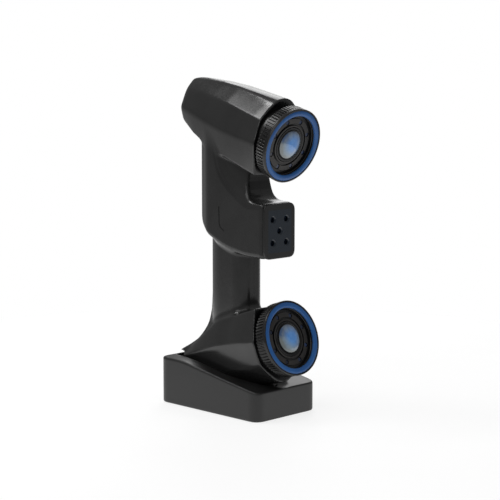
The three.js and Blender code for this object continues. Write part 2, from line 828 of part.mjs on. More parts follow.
function buildCradleSmallParts() {
  const corner = ["front_left", "front_right", "rear_left", "rear_right"];
  atCorners(FOOT, (x, y) => [x, y]).forEach(([x, y], i) => {
    const profile = [
      [0, 0],
      [FOOT.radius - 0.5, 0],
      [FOOT.radius, 0.5],
      [FOOT.radius, FOOT.high],
      [0, FOOT.high],
    ];
    const foot = mesh("foot_" + corner[i], turnedY(profile, 16), finish.rubber);
    foot.rotation.x = Math.PI / 2;
    foot.position.set(x, y, 0);
    cradle.add(foot);
  });
  atCorners(COVER_SCREW, (x, y) => [x, y]).forEach(([x, y], i) => {
    const { head, shank, top } = COVER_SCREW;
    const profile = [
      [0, 0.8],
      [1.1, 0.8],
      [1.1, 0],
      [head, 0],
      [head, 1.2],
      [shank, 1.2],
      [shank, top],
      [0, top],
    ];
    const screw = mesh("cover_screw_" + corner[i], turnedY(profile, SMALL_ROUND), finish.steel);
    screw.rotation.x = Math.PI / 2;
    screw.position.set(x, y, COVER.low + 0.1);
    cradle.add(screw);
  });
}

// ---------------------------------------------------------------- assembly

buildHousing();
buildShellScrews();
buildHead("upper", 1);
buildHead("lower", -1);
buildLasers();
buildFrame();
buildKeys();
buildSocket();
buildCradle();
buildCover();
buildCradleSmallParts();

const object = new THREE.Group();
object.add(cradle, scanner);

export default object;
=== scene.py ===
"""Looks of the two-headed handheld scanner in its cradle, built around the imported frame."""

import math

import bmesh
import bpy
import numpy as np
from mathutils import Matrix, Vector


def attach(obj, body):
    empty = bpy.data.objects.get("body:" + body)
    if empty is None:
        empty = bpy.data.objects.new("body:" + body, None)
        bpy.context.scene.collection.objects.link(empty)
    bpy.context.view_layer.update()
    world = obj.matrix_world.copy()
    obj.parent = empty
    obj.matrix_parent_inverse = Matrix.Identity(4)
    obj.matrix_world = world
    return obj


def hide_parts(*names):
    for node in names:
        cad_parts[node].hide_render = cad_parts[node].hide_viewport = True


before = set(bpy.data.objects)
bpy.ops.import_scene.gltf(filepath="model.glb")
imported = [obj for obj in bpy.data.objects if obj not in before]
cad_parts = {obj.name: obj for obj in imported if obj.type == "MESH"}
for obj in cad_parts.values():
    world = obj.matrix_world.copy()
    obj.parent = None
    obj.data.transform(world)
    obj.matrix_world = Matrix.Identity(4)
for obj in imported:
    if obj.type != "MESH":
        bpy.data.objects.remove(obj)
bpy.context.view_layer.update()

MM = 0.001

# ------------------------------------------------------------------ dimensions, in millimetres

TILT = math.radians(17.2)  # each lens axis leans this much towards the middle
BASELINE = 183.2  # between the two lens axes, at the front of the rings
MIRROR_Z = 170.1  # halfway between the heads
FACE_Y = -66.7  # the front of the rings, on the lens axes
SEAM = 0.06  # half of the gap between the housing's halves
WALL = 2.6

# A row for each station s along a head: four corners (x, w) of half of the upper head's
# outline, called brow, shoulder, widest and inner, then the lower head's w at its inner corner.
STATIONS = [
    (17.3, (11.4, 36.8), (28.9, 19.9), (36.0, -2.0), (25.0, -34.5), -34.5),
    (31, (11.2, 36.5), (28.2, 19.7), (34.3, -3.5), (24.0, -34.3), -34.3),
    (45, (10.8, 35.9), (26.8, 19.2), (32.2, -5.5), (22.6, -33.9), -33.9),
    (75, (10.0, 34.1), (23.4, 18.6), (28.0, -8.0), (19.4, -33.3), -31.5),
    (97, (9.2, 31.7), (20.6, 16.6), (24.6, -8.2), (17.0, -31.8), -27.0),
    (120, (8.4, 27.8), (17.8, 14.0), (21.2, -7.9), (14.4, -27.4), -19.0),
    (131, (8.0, 25.2), (16.4, 12.4), (19.4, -7.9), (12.6, -23.8), -15.5),
]

# How a head's top line is arched, how its front leans back, and where its tail ends.
ARCH = 3.6
ARCH_FALL = 0.020
FRONT = 16.8
FRONT_LEAN = 5.9
FRONT_REACH = 19
UPPER_TAIL = 145.6
UPPER_TAIL_LEAN = 0.02
LOWER_TAIL = 142.4
LEDGE = 5.0
LEDGE_Z = 46.8
LEDGE_RISE = 3.5

# Outlines are (y, z, set-back) from the side, and (x, y, set-back) in plan.
WING_SIDE = [
    (-47.5, 153.6, 4), (-47.5, 206.6, 4), (-26, 206, 5), (-8, 217, 8), (6.5, 229, 8),
    (14, 243, 8), (16.5, 258, 6), (20, 275, 0), (47, 284, 0), (47, 183, 10),
    (32, 172.5, 8), (5, 160, 12), (-22, 154.4, 8),
]
WING_PLAN = [
    (21.2, -60, 0), (21.2, 29.5, 4), (12.6, 47, 4), (-12.6, 47, 4), (-21.2, 29.5, 4), (-21.2, -60, 0),
]
CORE_SIDE = [
    (-45, 206, 0), (-33, 207.6, 6), (-25, 212.5, 8), (-21.8, 226, 9), (-21.8, 275, 0),
    (30, 275, 0), (30, 190, 0), (-45, 190, 0),
]
GRIP_PLAN = [
    (7.2, -15.4, 2), (18, -6.8, 4), (17.6, 20, 7), (10.4, 34.4, 7),
    (-10.4, 34.4, 7), (-17.6, 20, 7), (-18, -6.8, 4), (-7.2, -15.4, 2),
]
HEEL_SIDE = [
    (24, 120, 0), (32.6, 114, 6), (35.4, 98, 10), (39.6, 82, 8), (48.6, 70.5, 5), (55.2, 64, 4),
    (66, 56, 3), (76.5, 49.5, 0), (40, 44, 0),
]
CRADLE_SIDE = [
    (-60.7, 0.3, 0.8), (-60.7, 28.6, 1.2), (45, 46.4, 12), (77.4, 46.4, 1.2), (77.4, 0.3, 0.8),
]
CRADLE_PLAN = [
    (42.3, -60.7, 12), (42.3, 77.4, 12), (-42.3, 77.4, 12), (-42.3, -60.7, 12),
]
POCKET_GAP = 4.4
POCKET_REAR = 74.6

# A shallow groove in each side of the wing, as (y, z) points, and the x of its floor.
GROOVE = [
    (12.6, 201), (12.2, 184.4), (10.6, 180.6), (5.2, 177.0),
    (4.6, 178.0), (9.6, 181.4), (11.0, 184.6), (11.4, 201),
]
GROOVE_FLOOR = 20.7

# The y and z of each screw, and the x under its head.
SHELL_SCREWS = [
    (40, 292, 11), (44, 44, 11), (30.5, 240, 9), (-24, 163, 9), (24.5, 140, 9), (-2, 95, 9),
]
SCREW_WAY = 1.8
SCREW_WELL = 3.2
BOSS = 4.2

# The x and z of each aperture from the front plate's middle, and that middle's height.
LASERS = [(0, 0), (-9.3, 11.2), (9.3, 11.2), (-9.3, -11.2), (9.3, -11.2)]
LASER_Z = 180.1

# The height and radius of each key, and the height of the status light.
KEYS = (("scan", 222, 6.4), ("plus", 237.5, 4.2), ("minus", 206.5, 4.2))
STATUS_Z = 247

CONTACTS = 6
LAMPS = 8
LAMP_CIRCLE = 23.4
TEETH = 72

# ------------------------------------------------------------------ distance fields


def smax(a, b, k):
    """The larger of two fields, rounded over k where they meet."""
    near = np.maximum(k - np.abs(a - b), 0) / k
    return np.maximum(a, b) + near * near * k / 4


def smin(a, b, k):
    """The smaller of two fields, rounded over k where they meet."""
    return -smax(-a, -b, k)


def ease(t):
    """A smooth step, 0 up to t = 0 and 1 from t = 1."""
    t = np.clip(t, 0, 1)
    return t * t * (3 - 2 * t)


def rounded(corners, steps=5):
    """An outline's points, with each corner (u, v, set-back) rounded."""
    points = []
    count = len(corners)
    for i, (u, v, back) in enumerate(corners):
        here = np.array([u, v], float)
        ends = []
        for j in (i - 1, (i + 1) % count):
            other = np.array(corners[j][:2], float)
            length = np.linalg.norm(other - here)
            reach = min(back, 0.45 * length) / length
            ends.append(here + (other - here) * reach)
        if back == 0:
            points.append(here)
            continue
        for t in np.linspace(0, 1, steps):
            points.append((1 - t) ** 2 * ends[0] + 2 * t * (1 - t) * here + t * t * ends[1])
    return np.array(points)


def polygon(u, v, points):
    """Signed distance from an outline, negative inside."""
    best, inside = 1e12, False
    for (a, b), (c, d) in zip(points, np.roll(points, -1, 0)):
        du, dv = c - a, d - b
        length = du * du + dv * dv
        if length < 1e-9:
            continue
        t = np.clip(((u - a) * du + (v - b) * dv) / length, 0, 1)
        best = np.minimum(best, (u - a - t * du) ** 2 + (v - b - t * dv) ** 2)
        if dv:
            inside = inside ^ (((b > v) != (d > v)) & (u < du * (v - b) / dv + a))
    return np.where(inside, -1, 1) * np.sqrt(best)


STEPS = np.arange(-20.0, 190.0, 1.0)


def smooth_table(values):
    """A station value along s, run on past both ends and smoothed."""
    s = [station[0] for station in STATIONS]
    table = np.interp(STEPS, s, values)
    first = (values[1] - values[0]) / (s[1] - s[0])
    last = (values[-1] - values[-2]) / (s[-1] - s[-2])
    table += np.minimum(STEPS - s[0], 0) * first + np.maximum(STEPS - s[-1], 0) * last
    kernel = np.hanning(11)
    padded = np.pad(table, 5, mode="reflect", reflect_type="odd")
    return np.convolve(padded, kernel / kernel.sum(), "valid")


HEAD_TABLES = {}
for _side in (1, -1):
    rows = []
    for _s, brow, shoulder, widest, inner, low in STATIONS:
        inner_w = inner[1] if _side > 0 else low
        rows.append([*brow, *shoulder, *widest, inner[0], inner_w])
    HEAD_TABLES[_side] = [smooth_table(np.array(column)) for column in np.array(rows).T]


def head_frame(y, z, side):
    """s along the lens axis and w across it."""
    dy = y - FACE_Y
    dz = side * (z - MIRROR_Z) - BASELINE / 2
    s = math.cos(TILT) * dy + math.sin(TILT) * dz
    w = -math.sin(TILT) * dy + math.cos(TILT) * dz
    return s, w


def facet(x, w, x1, w1, x2, w2, crown):
    """Distance outside the line from one corner to the next, which bulges by crown."""
    length = np.hypot(x2 - x1, w2 - w1)
    tx, tw = (x2 - x1) / length, (w2 - w1) / length
    across = (x - x1) * -tw + (w - w1) * tx
    along = np.clip(((x - x1) * tx + (w - w1) * tw) * 2 / length - 1, -1.4, 1.4)
    return across - crown * (1 - along * along)


def head(x, y, z, side, capped=True):
    """One camera head, from behind its rim to its tail."""
    s, w = head_frame(y, z, side)
    tx, tw, bx, bw, cx, cw, dx, dw = [np.interp(s, STEPS, table) for table in HEAD_TABLES[side]]
    arch = ARCH - ARCH_FALL * np.clip(s, 0, 150)
    top = w - tw - arch * (1 - np.clip(x / tx, 0, 1.4) ** 2)
    upper = facet(x, w, tx, tw, bx, bw, 0.45)
    middle = facet(x, w, bx, bw, cx, cw, 0.2)
    under = facet(x, w, cx, cw, dx, dw, 0.2)
    floor = dw - w
    d = smax(top, upper, 0.9)
    d = smax(d, middle, 0.9)
    d = smax(d, under, 1.5)
    d = smax(d, floor, 2.0)
    if capped:
        lean = 0.5 * (w + np.sqrt(w * w + 16))
        d = smax(d, FRONT + FRONT_LEAN * np.tanh(lean / FRONT_REACH) - s, 1.6)
    if side > 0:
        return smax(d, s - UPPER_TAIL + UPPER_TAIL_LEAN * w, 10.0)
    return smax(d, s - LOWER_TAIL - LEDGE * ease((z - LEDGE_Z) / LEDGE_RISE), 6.0)


WING_SIDE_LINE = rounded(WING_SIDE)
WING_PLAN_LINE = rounded(WING_PLAN)
CORE_SIDE_LINE = rounded(CORE_SIDE)
GRIP_PLAN_LINE = rounded(GRIP_PLAN)
HEEL_SIDE_LINE = rounded(HEEL_SIDE)
CRADLE_SIDE_LINE = rounded(CRADLE_SIDE, 6)
CRADLE_PLAN_LINE = rounded(CRADLE_PLAN, 12)


def housing(x, y, z):
    """The outside of the housing: wing, core, grip, both heads and the heel."""
    x = np.abs(x)
    past = polygon(y, z, WING_SIDE_LINE)
    wing = smax(past, polygon(x, y, WING_PLAN_LINE), 5.5)
    # Half of the core's width, which shrinks on both sides of the wing's outline.
    waist = 20.2 - 1.4 * ease(past / 7) - 3.2 * ease(past / 26) - 6.0 * ease(-past / 9)
    core = smax(polygon(y, z, CORE_SIDE_LINE), x - waist, 4.0)
    grip = smax(polygon(x, y, GRIP_PLAN_LINE), np.abs(z - 121) - 61, 3.0)
    heel = smax(polygon(y, z, HEEL_SIDE_LINE), x - 9.5 - 6.0 * ease((64 - z) / 16), 3.0)
    body = smin(wing, core, 2.6)
    body = smin(body, grip, 4.0)
    body = smin(body, head(x, y, z, 1), 3.0)
    body = smin(body, head(x, y, z, -1), 8.0)
    return smin(body, heel, 2.5)


def cradle(x, y, z):
    """The outside of the cradle, with the pocket that the lower head stands in."""
    x = np.abs(x)
    wedge = smax(polygon(y, z, CRADLE_SIDE_LINE), polygon(x, y, CRADLE_PLAN_LINE), 2.0)
    pocket = np.maximum(head(x, y, z, -1) - POCKET_GAP, y - POCKET_REAR)
    return smax(wedge, -pocket, 1.6)


# ------------------------------------------------------------------ meshing a field


def surface_net(values):
    """Vertices, in grid units, and quads of the surface where values changes sign."""
    inside = values < 0
    n = np.array(values.shape) - 1
    corner = [(i, j, k) for i in (0, 1) for j in (0, 1) for k in (0, 1)]
    count = sum(
        inside[i : n[0] + i, j : n[1] + j, k : n[2] + k].astype(np.int8) for i, j, k in corner
    )
    active = (count > 0) & (count < 8)
    index = np.full(active.shape, -1, np.int64)
    index[active] = np.arange(active.sum())
    cells = np.argwhere(active)
    total, crossings = np.zeros((len(cells), 3)), np.zeros(len(cells))
    quads = []
    for axis in range(3):
        b, c = (axis + 1) % 3, (axis + 2) % 3
        unit = np.eye(3, dtype=int)
        for i in (0, 1):
            for j in (0, 1):
                low = cells + i * unit[b] + j * unit[c]
                high = low + unit[axis]
                v0, v1 = values[tuple(low.T)], values[tuple(high.T)]
                crossed = (v0 < 0) != (v1 < 0)
                t = v0[crossed] / (v0[crossed] - v1[crossed])
                total[crossed] += low[crossed] + t[:, None] * unit[axis]
                crossings += crossed
        ends = np.moveaxis(inside, axis, 0)
        edges = np.argwhere(np.moveaxis(ends[:-1] != ends[1:], 0, axis))
        edges = edges[(edges[:, b] > 0) & (edges[:, c] > 0)]
        edges = edges[(edges[:, b] < n[b]) & (edges[:, c] < n[c])]
        ring = [(-1, -1), (0, -1), (0, 0), (-1, 0)]
        quad = np.stack([index[tuple((edges + i * unit[b] + j * unit[c]).T)] for i, j in ring], 1)
        leaving = inside[tuple(edges.T)]
        quad[~leaving] = quad[~leaving][:, ::-1]
        quads.append(quad)
    return total / crossings[:, None], np.concatenate(quads)


def part_touching(values):
    """Fills grid corners where the surface would meet itself along an edge."""
    for _ in range(12):
        found = 0
        for b, c in ((0, 1), (1, 2), (2, 0)):
            plane = np.moveaxis(values, (b, c), (0, 1))
            near, right, up, far = plane[:-1, :-1], plane[1:, :-1], plane[:-1, 1:], plane[1:, 1:]
            rising = (near < 0) & (far < 0) & (right >= 0) & (up >= 0)
            falling = (near >= 0) & (far >= 0) & (right < 0) & (up < 0)
            right[rising] = -0.01
            near[falling] = -0.01
            found += rising.sum() + falling.sum()
        if not found:
            break
    return values


def field_mesh(name, field, low, high, step, refine=2):
    """A mesh of the field's surface, in metres, with its vertices moved onto the surface."""
    low = np.array(low, float)
    counts = [int(math.ceil((high[i] - low[i]) / step)) + 1 for i in range(3)]
    axes = [low[i] + step * np.arange(counts[i]) for i in range(3)]
    values = field(axes[0][:, None, None], axes[1][None, :, None], axes[2][None, None, :])
    points, quads = surface_net(part_touching(np.array(values)))
    points = points * step + low
    for _ in range(refine):
        here = field(*points.T)
        slope = np.stack([field(*(points + 0.05 * unit).T) - here for unit in np.eye(3)], 1) / 0.05
        move = here[:, None] * slope / np.maximum((slope**2).sum(1), 0.2)[:, None]
        reach = np.linalg.norm(move, axis=1, keepdims=True)
        points = points - move * np.minimum(1, 0.7 * step / np.maximum(reach, 1e-9))
    return mesh_object(name, points * MM, quads)


def mesh_object(name, points, faces):
    """A new object in the scene, from points in metres."""
    if isinstance(faces, np.ndarray):
        faces = faces.tolist()
    mesh = bpy.data.meshes.new(name)
    mesh.from_pydata(np.asarray(points).tolist(), [], faces)
    mesh.update()
    made = bpy.data.objects.new(name, mesh)
    bpy.context.scene.collection.objects.link(made)
    return made


# ------------------------------------------------------------------ turned and cut solids


def turned(name, rows, columns=128, closed=True):
    """A solid turned about local Y. A row is (radius, y), with one radius or one per column."""
    angle = 2 * np.pi * np.arange(columns) / columns
    points, faces = [], []
    starts = []
    for radius, y in rows:
        radius = np.broadcast_to(np.asarray(radius, float), (columns,))
        if np.all(radius == 0):
            starts.append((len(points), 1))
            points.append((0, y, 0))
        else:
            starts.append((len(points), columns))
            points.extend(zip(radius * np.cos(angle), np.full(columns, y), radius * np.sin(angle)))
    pairs = list(zip(starts, starts[1:] + (starts[:1] if closed else [])))
    for (a, na), (b, nb) in pairs:
        if na == 1 and nb == 1:
            continue
        for i in range(columns):
            j = (i + 1) % columns
            if na == 1:
                faces.append((a, b + j, b + i))
            elif nb == 1:
                faces.append((a + i, a + j, b))
            else:
                faces.append((a + i, a + j, b + j, b + i))
    made = mesh_object(name, np.array(points) * MM, faces)
    outward(made)
    return made


def outward(made):
    """Turns a closed mesh's faces to point out."""
    work = bmesh.new()
    work.from_mesh(made.data)
    bmesh.ops.recalc_face_normals(work, faces=work.faces)
    if work.calc_volume(signed=True) < 0:
        bmesh.ops.reverse_faces(work, faces=work.faces)
    work.to_mesh(made.data)
    work.free()


def prism(name, points, low, high, matrix=None, bevel=0.0):
    """An outline of (u, v) points swept from low to high: u is X, v is Z and the sweep is Y."""
    n = len(points)
    layers = [(low, 0), (high, 0)]
    if bevel:
        layers = [(low, bevel), (low + bevel, 0), (high - bevel, 0), (high, bevel)]
    points = np.asarray(points, float)
    verts, faces = [], []
    for y, inset in layers:
        shrunk = offset_outline(points, inset) if inset else points
        verts += [(u, y, v) for u, v in shrunk]
    for layer in range(len(layers) - 1):
        for i in range(n):
            j = (i + 1) % n
            a, b = layer * n, (layer + 1) * n
            faces.append((a + i, a + j, b + j, b + i))
    faces.append(tuple(range(n))[::-1])
    faces.append(tuple(range(n * (len(layers) - 1), n * len(layers))))
    made = mesh_object(name, np.array(verts) * MM, faces)
    outward(made)
    if matrix is not None:
        made.data.transform(matrix)
    return made


def offset_outline(points, distance):
    """Moves a convex outline's points inwards."""
    before = points - np.roll(points, 1, 0)
    after = np.roll(points, -1, 0) - points
    u, v = points.T
    turn = np.sign((u * np.roll(v, -1) - v * np.roll(u, -1)).sum())

    def normal(d):
        d = d / np.maximum(np.linalg.norm(d, axis=1, keepdims=True), 1e-9)
        return np.stack([-d[:, 1], d[:, 0]], 1) * turn

    both = normal(before) + normal(after)
    return points + distance * both * 2 / np.maximum((both**2).sum(1, keepdims=True), 1e-9)


def circle(radius, count):
    angle = 2 * np.pi * np.arange(count) / count
    return np.stack([radius * np.cos(angle), radius * np.sin(angle)], 1)


def cylinder(name, radius, low, high, axis="Y", at=(0, 0, 0), count=48, matrix=None):
    """A round bar from low to high along an axis."""
    made = prism(name, circle(radius, count), low, high)
    turn = {
        "X": Matrix.Rotation(-math.pi / 2, 4, "Z"),
        "Y": Matrix.Identity(4),
        "Z": Matrix.Rotation(math.pi / 2, 4, "X"),
    }
    made.data.transform(Matrix.Translation(Vector(at) * MM) @ turn[axis])
    if matrix is not None:
        made.data.transform(matrix)
    return made


def block(name, low, high):
    """A box from its low corner to its high one."""
    corners = [(low[0], low[2]), (high[0], low[2]), (high[0], high[2]), (low[0], high[2])]
    return prism(name, corners, low[1], high[1])


def apply_modifiers(made):
    """Replaces an object's mesh with the result of its modifiers."""
    graph = bpy.context.evaluated_depsgraph_get()
    mesh = bpy.data.meshes.new_from_object(made.evaluated_get(graph))
    old = made.data
    made.modifiers.clear()
    made.data = mesh
    bpy.data.meshes.remove(old)
    mesh.name = made.name


def cut(made, others):
    """Cuts the other solids, which are used up, from this one."""
    for other in others:
        modifier = made.modifiers.new("cut", "BOOLEAN")
        modifier.operation = "DIFFERENCE"
        modifier.solver = "MANIFOLD"
        modifier.object = other
    bpy.context.view_layer.update()
    apply_modifiers(made)
    for other in others:
        mesh = other.data
        bpy.data.objects.remove(other)
        bpy.data.meshes.remove(mesh)
    if len(made.data.polygons) == 0:
        raise RuntimeError(made.name + " came out empty")
    return made


def smooth(made, angle=32.0):
    """Shades smoothly, except across edges sharper than an angle in degrees."""
    mesh = made.data
    mesh.shade_smooth()
    mesh.set_sharp_from_angle(angle=math.radians(angle))
    return made


def mirrored(made, name):
    """A copy mirrored in the plane x = 0."""
    other = bpy.data.objects.new(name, made.data.copy())
    bpy.context.scene.collection.objects.link(other)
    other.data.transform(Matrix.Scale(-1, 4, (1, 0, 0)))
    other.data.flip_normals()
    return other


# ------------------------------------------------------------------ materials


class Nodes:
    """A material's nodes, with short calls for the ones used here."""

    def __init__(self, name):
        self.material = bpy.data.materials.new(name)
        self.material.use_nodes = True
        self.tree = self.material.node_tree
        self.shader = self.tree.nodes["Principled BSDF"]
        self.place = self.add("ShaderNodeTexCoord").outputs["Object"]

    def add(self, kind, **settings):
        node = self.tree.nodes.new(kind)
        for key, value in settings.items():
            setattr(node, key, value)
        return node

    def link(self, source, target):
        self.tree.links.new(source, target)

    def noise(self, scale, detail=3.0, roughness=0.55, stretch=None, distortion=0.0):
        node = self.add("ShaderNodeTexNoise")
        node.inputs["Scale"].default_value = scale
        node.inputs["Detail"].default_value = detail
        node.inputs["Roughness"].default_value = roughness
        node.inputs["Distortion"].default_value = distortion
        place = self.place
        if stretch:
            mapping = self.add("ShaderNodeMapping")
            mapping.inputs["Scale"].default_value = stretch
            self.link(place, mapping.inputs["Vector"])
            place = mapping.outputs["Vector"]
        self.link(place, node.inputs["Vector"])
        return node.outputs["Fac"]

    def ramp(self, value, low, high, out_low=0.0, out_high=1.0):
        node = self.add("ShaderNodeMapRange")
        ends = {"From Min": low, "From Max": high, "To Min": out_low, "To Max": out_high}
        for key, number in ends.items():
            node.inputs[key].default_value = number
        self.link(value, node.inputs["Value"])
        return node.outputs["Result"]

    def math(self, operation, a, b=None):
        node = self.add("ShaderNodeMath", operation=operation)
        for i, value in enumerate((a, b)):
            if value is None:
                continue
            if isinstance(value, (int, float)):
                node.inputs[i].default_value = value
            else:
                self.link(value, node.inputs[i])
        return node.outputs[0]

    def mix(self, factor, a, b):
        node = self.add("ShaderNodeMix", data_type="RGBA")
        for key, value in ((0, factor), (6, a), (7, b)):
            if isinstance(value, (int, float)):
                node.inputs[key].default_value = value
            elif isinstance(value, tuple):
                node.inputs[key].default_value = (*value, 1)
            else:
                self.link(value, node.inputs[key])
        return node.outputs[2]

    def bump(self, height, strength, distance, after=None):
        node = self.add("ShaderNodeBump")
        node.inputs["Strength"].default_value = strength
        node.inputs["Distance"].default_value = distance
        self.link(height, node.inputs["Height"])
        if after:
            self.link(after, node.inputs["Normal"])
        return node.outputs["Normal"]

    def set(self, **values):
        for key, value in values.items():
            socket = self.shader.inputs[key.replace("_", " ")]
            if isinstance(value, (int, float)):
                socket.default_value = value
            elif isinstance(value, tuple):
                socket.default_value = (*value, 1)
            else:
                self.link(value, socket)
        return self.material


def rgb(r, g, b):
    """Linear colour from 0-255 display values."""
    return tuple(((v / 255 + 0.055) / 1.055) ** 2.4 if v > 10 else v / 255 / 12.92 for v in (r, g, b))


GRAIN_SCALE = 2600.0


def moulded(name, dark, light, rough=(0.26, 0.36), grain=0.12, scuffs=0.05):
    """Moulded or painted plastic: faint mottling, a fine grain, and soft scuffs."""
    n = Nodes(name)
    mottle = n.noise(38.0, 4.0)
    fine = n.noise(GRAIN_SCALE, 2.0)
    scratch = n.noise(420.0, 5.0, 0.65, stretch=(1.0, 0.25, 0.08), distortion=0.6)
    worn = n.ramp(scratch, 0.60, 0.74)
    base = n.mix(n.ramp(mottle, 0.3, 0.7), dark, light)
    lifted = tuple(min(1.0, c * 1.6 + 0.004) for c in light)
    colour = n.mix(n.math("MULTIPLY", worn, scuffs * 2), base, lifted)
    roughness = n.math("ADD", n.ramp(mottle, 0.25, 0.75, *rough), n.math("MULTIPLY", worn, scuffs))
    normal = n.bump(fine, grain, 0.0002, n.bump(n.noise(120.0, 2.0), 0.015, 0.001))
    return n.set(Base_Color=colour, Roughness=roughness, Normal=normal)


def metal(name, dark, light, rough=(0.25, 0.42), stretch=(1.0, 1.0, 0.06)):
    """Brushed or turned metal."""
    n = Nodes(name)
    brushed = n.noise(1500.0, 4.0, 0.6, stretch=stretch)
    cloud = n.noise(60.0, 3.0)
    colour = n.mix(n.ramp(cloud, 0.3, 0.7), dark, light)
    return n.set(
        Base_Color=colour,
        Metallic=1.0,
        Roughness=n.ramp(brushed, 0.3, 0.7, *rough),
        Normal=n.bump(brushed, 0.12, 0.0002),
    )


def coated_glass_with_painted_reflection():
    """The lens: a coated dome with a painted reflection, bright blue in the middle, paler towards its
    edge.
    """
    n = Nodes("coated_glass_with_painted_reflection")
    apart = n.add("ShaderNodeSeparateXYZ")
    n.link(n.place, apart.inputs[0])
    # The painted reflection's bright middle sits a little off the lens axis.
    x = n.math("ADD", apart.outputs[0], -0.0022)
    z = n.math("ADD", apart.outputs[2], -0.0004)
    radius = n.math("SQRT", n.math("ADD", n.math("MULTIPLY", x, x), n.math("MULTIPLY", z, z)))
    wobble = n.math("MULTIPLY", n.math("SUBTRACT", n.noise(130.0, 2.0), 0.5), 0.004)
    radius = n.math("ADD", radius, wobble)
    cloud = n.noise(170.0, 3.0, 0.6)
    # Painted reflection: a bright blue middle, a paler grey-blue ring and a darker edge, set by radius.
    middle = n.mix(n.ramp(cloud, 0.35, 0.65), rgb(72, 138, 214), rgb(100, 160, 226))
    outer = n.mix(n.ramp(n.noise(110.0, 3.0), 0.35, 0.65), rgb(88, 104, 128), rgb(136, 156, 172))
    edge = n.mix(n.ramp(n.noise(60.0, 1.0), 0.4, 0.6), rgb(52, 84, 124), rgb(120, 128, 128))
    colour = n.mix(n.ramp(radius, 0.0050, 0.0112), middle, outer)
    colour = n.mix(n.ramp(radius, 0.0118, 0.0136), colour, edge)
    return n.set(
        Base_Color=colour,
        Roughness=n.ramp(cloud, 0.3, 0.7, 0.06, 0.12),
        Normal=n.bump(n.noise(90.0, 1.0), 0.02, 0.0005),
        Coat_Weight=1.0,
        Coat_Roughness=0.03,
    )


def plate_look():
    """The front plate: black at its edge, with a bluish window in the middle."""
    n = Nodes("front_plate_look")
    apart = n.add("ShaderNodeSeparateXYZ")
    n.link(n.place, apart.inputs[0])
    across = n.math("SUBTRACT", n.math("ABSOLUTE", apart.outputs[0]), 0.0160)
    height = n.math("ABSOLUTE", n.math("SUBTRACT", apart.outputs[2], LASER_Z * MM))
    outside = n.math("MAXIMUM", across, n.math("SUBTRACT", height, 0.0205))
    cloud = n.noise(60.0, 3.0)
    border = n.mix(cloud, rgb(20, 20, 20), rgb(27, 27, 27))
    window = n.mix(cloud, rgb(20, 29, 38), rgb(28, 38, 49))
    colour = n.mix(n.ramp(outside, -0.0004, 0.0004), window, border)
    return n.set(
        Base_Color=colour,
        Roughness=n.ramp(outside, -0.0004, 0.0004, 0.14, 0.3),
        Normal=n.bump(n.noise(GRAIN_SCALE, 2.0), 0.05, 0.0002),
    )


def board_look():
    """Green solder mask over faint copper runs."""
    n = Nodes("board_look")
    runs = n.noise(300.0, 1.0, 0.4, stretch=(1.0, 1.0, 0.1))
    colour = n.mix(n.ramp(runs, 0.50, 0.53), rgb(18, 62, 40), rgb(30, 92, 58))
    return n.set(
        Base_Color=colour,
        Roughness=n.ramp(n.noise(200.0), 0.3, 0.7, 0.3, 0.45),
        Normal=n.bump(runs, 0.2, 0.0002),
    )


def glow_look():
    """The status light's pale blue pipe."""
    n = Nodes("light_pipe_look")
    cloud = n.noise(900.0, 2.0)
    return n.set(
        Base_Color=n.mix(cloud, rgb(130, 200, 240), rgb(190, 230, 250)),
        Roughness=n.ramp(cloud, 0.3, 0.7, 0.2, 0.35),
        Normal=n.bump(cloud, 0.1, 0.0001),
    )


SHELL = moulded("shell_plastic", rgb(33, 33, 33), rgb(39, 39, 39), rough=(0.15, 0.24), grain=0.04)
BASE = moulded("cradle_plastic", rgb(23, 23, 23), rgb(28, 28, 28), rough=(0.3, 0.4), grain=0.02)
BLACK = moulded("ring_black_look", rgb(14, 14, 14), rgb(20, 20, 20), rough=(0.22, 0.32), grain=0.05)
TRIM = moulded("trim_black_look", rgb(26, 26, 27), rgb(34, 34, 35), rough=(0.4, 0.52), grain=0.25)
LENS_BLACK = moulded("lens_black_look", rgb(5, 5, 6), rgb(10, 10, 11), rough=(0.2, 0.32))
FACE = moulded("lamp_face_look", rgb(26, 24, 23), rgb(42, 39, 37), rough=(0.3, 0.42), grain=0.3)
BLUE = moulded("accent_blue_look", rgb(20, 78, 142), rgb(28, 94, 160), rough=(0.3, 0.4), scuffs=0.02)
PLATE = plate_look()
APERTURE = moulded("aperture_look", rgb(10, 16, 26), rgb(18, 30, 48), rough=(0.08, 0.16), grain=0.02)
LAMP = moulded("lamp_look", rgb(16, 24, 42), rgb(34, 54, 92), rough=(0.12, 0.22), grain=0.05)
KEY = moulded("key_look", rgb(52, 54, 58), rgb(62, 64, 68), rough=(0.5, 0.62), grain=0.4)
RUBBER = moulded("rubber_look", rgb(24, 24, 24), rgb(34, 33, 33), rough=(0.72, 0.85), grain=0.6)
ALUMINIUM = metal("aluminium_look", rgb(150, 153, 158), rgb(178, 180, 184))
STEEL = metal("steel_look", rgb(120, 122, 126), rgb(150, 152, 156))
BRASS = metal("brass_look", rgb(176, 140, 80), rgb(200, 164, 100))
GLASS = coated_glass_with_painted_reflection()
BOARD = board_look()
LIGHT = glow_look()


def dress(made, material, slot, body, *nodes):
    """Finishes a piece: its material, body and the CAD nodes it stands for. The slot is not used."""
    made.data.materials.clear()
    made.data.materials.append(material)
    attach(made, body)
    if nodes:
        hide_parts(*nodes)
    return made


def paint(made, material, test):
    """Gives a second material to the faces whose centres, in local millimetres, pass a test."""
    made.data.materials.append(material)
    centres = np.array([face.center for face in made.data.polygons]) / MM
    normals = np.array([face.normal for face in made.data.polygons])
    chosen = test(centres, normals)
    made.data.polygons.foreach_set("material_index", chosen.astype(np.int32))
    made.data.update()


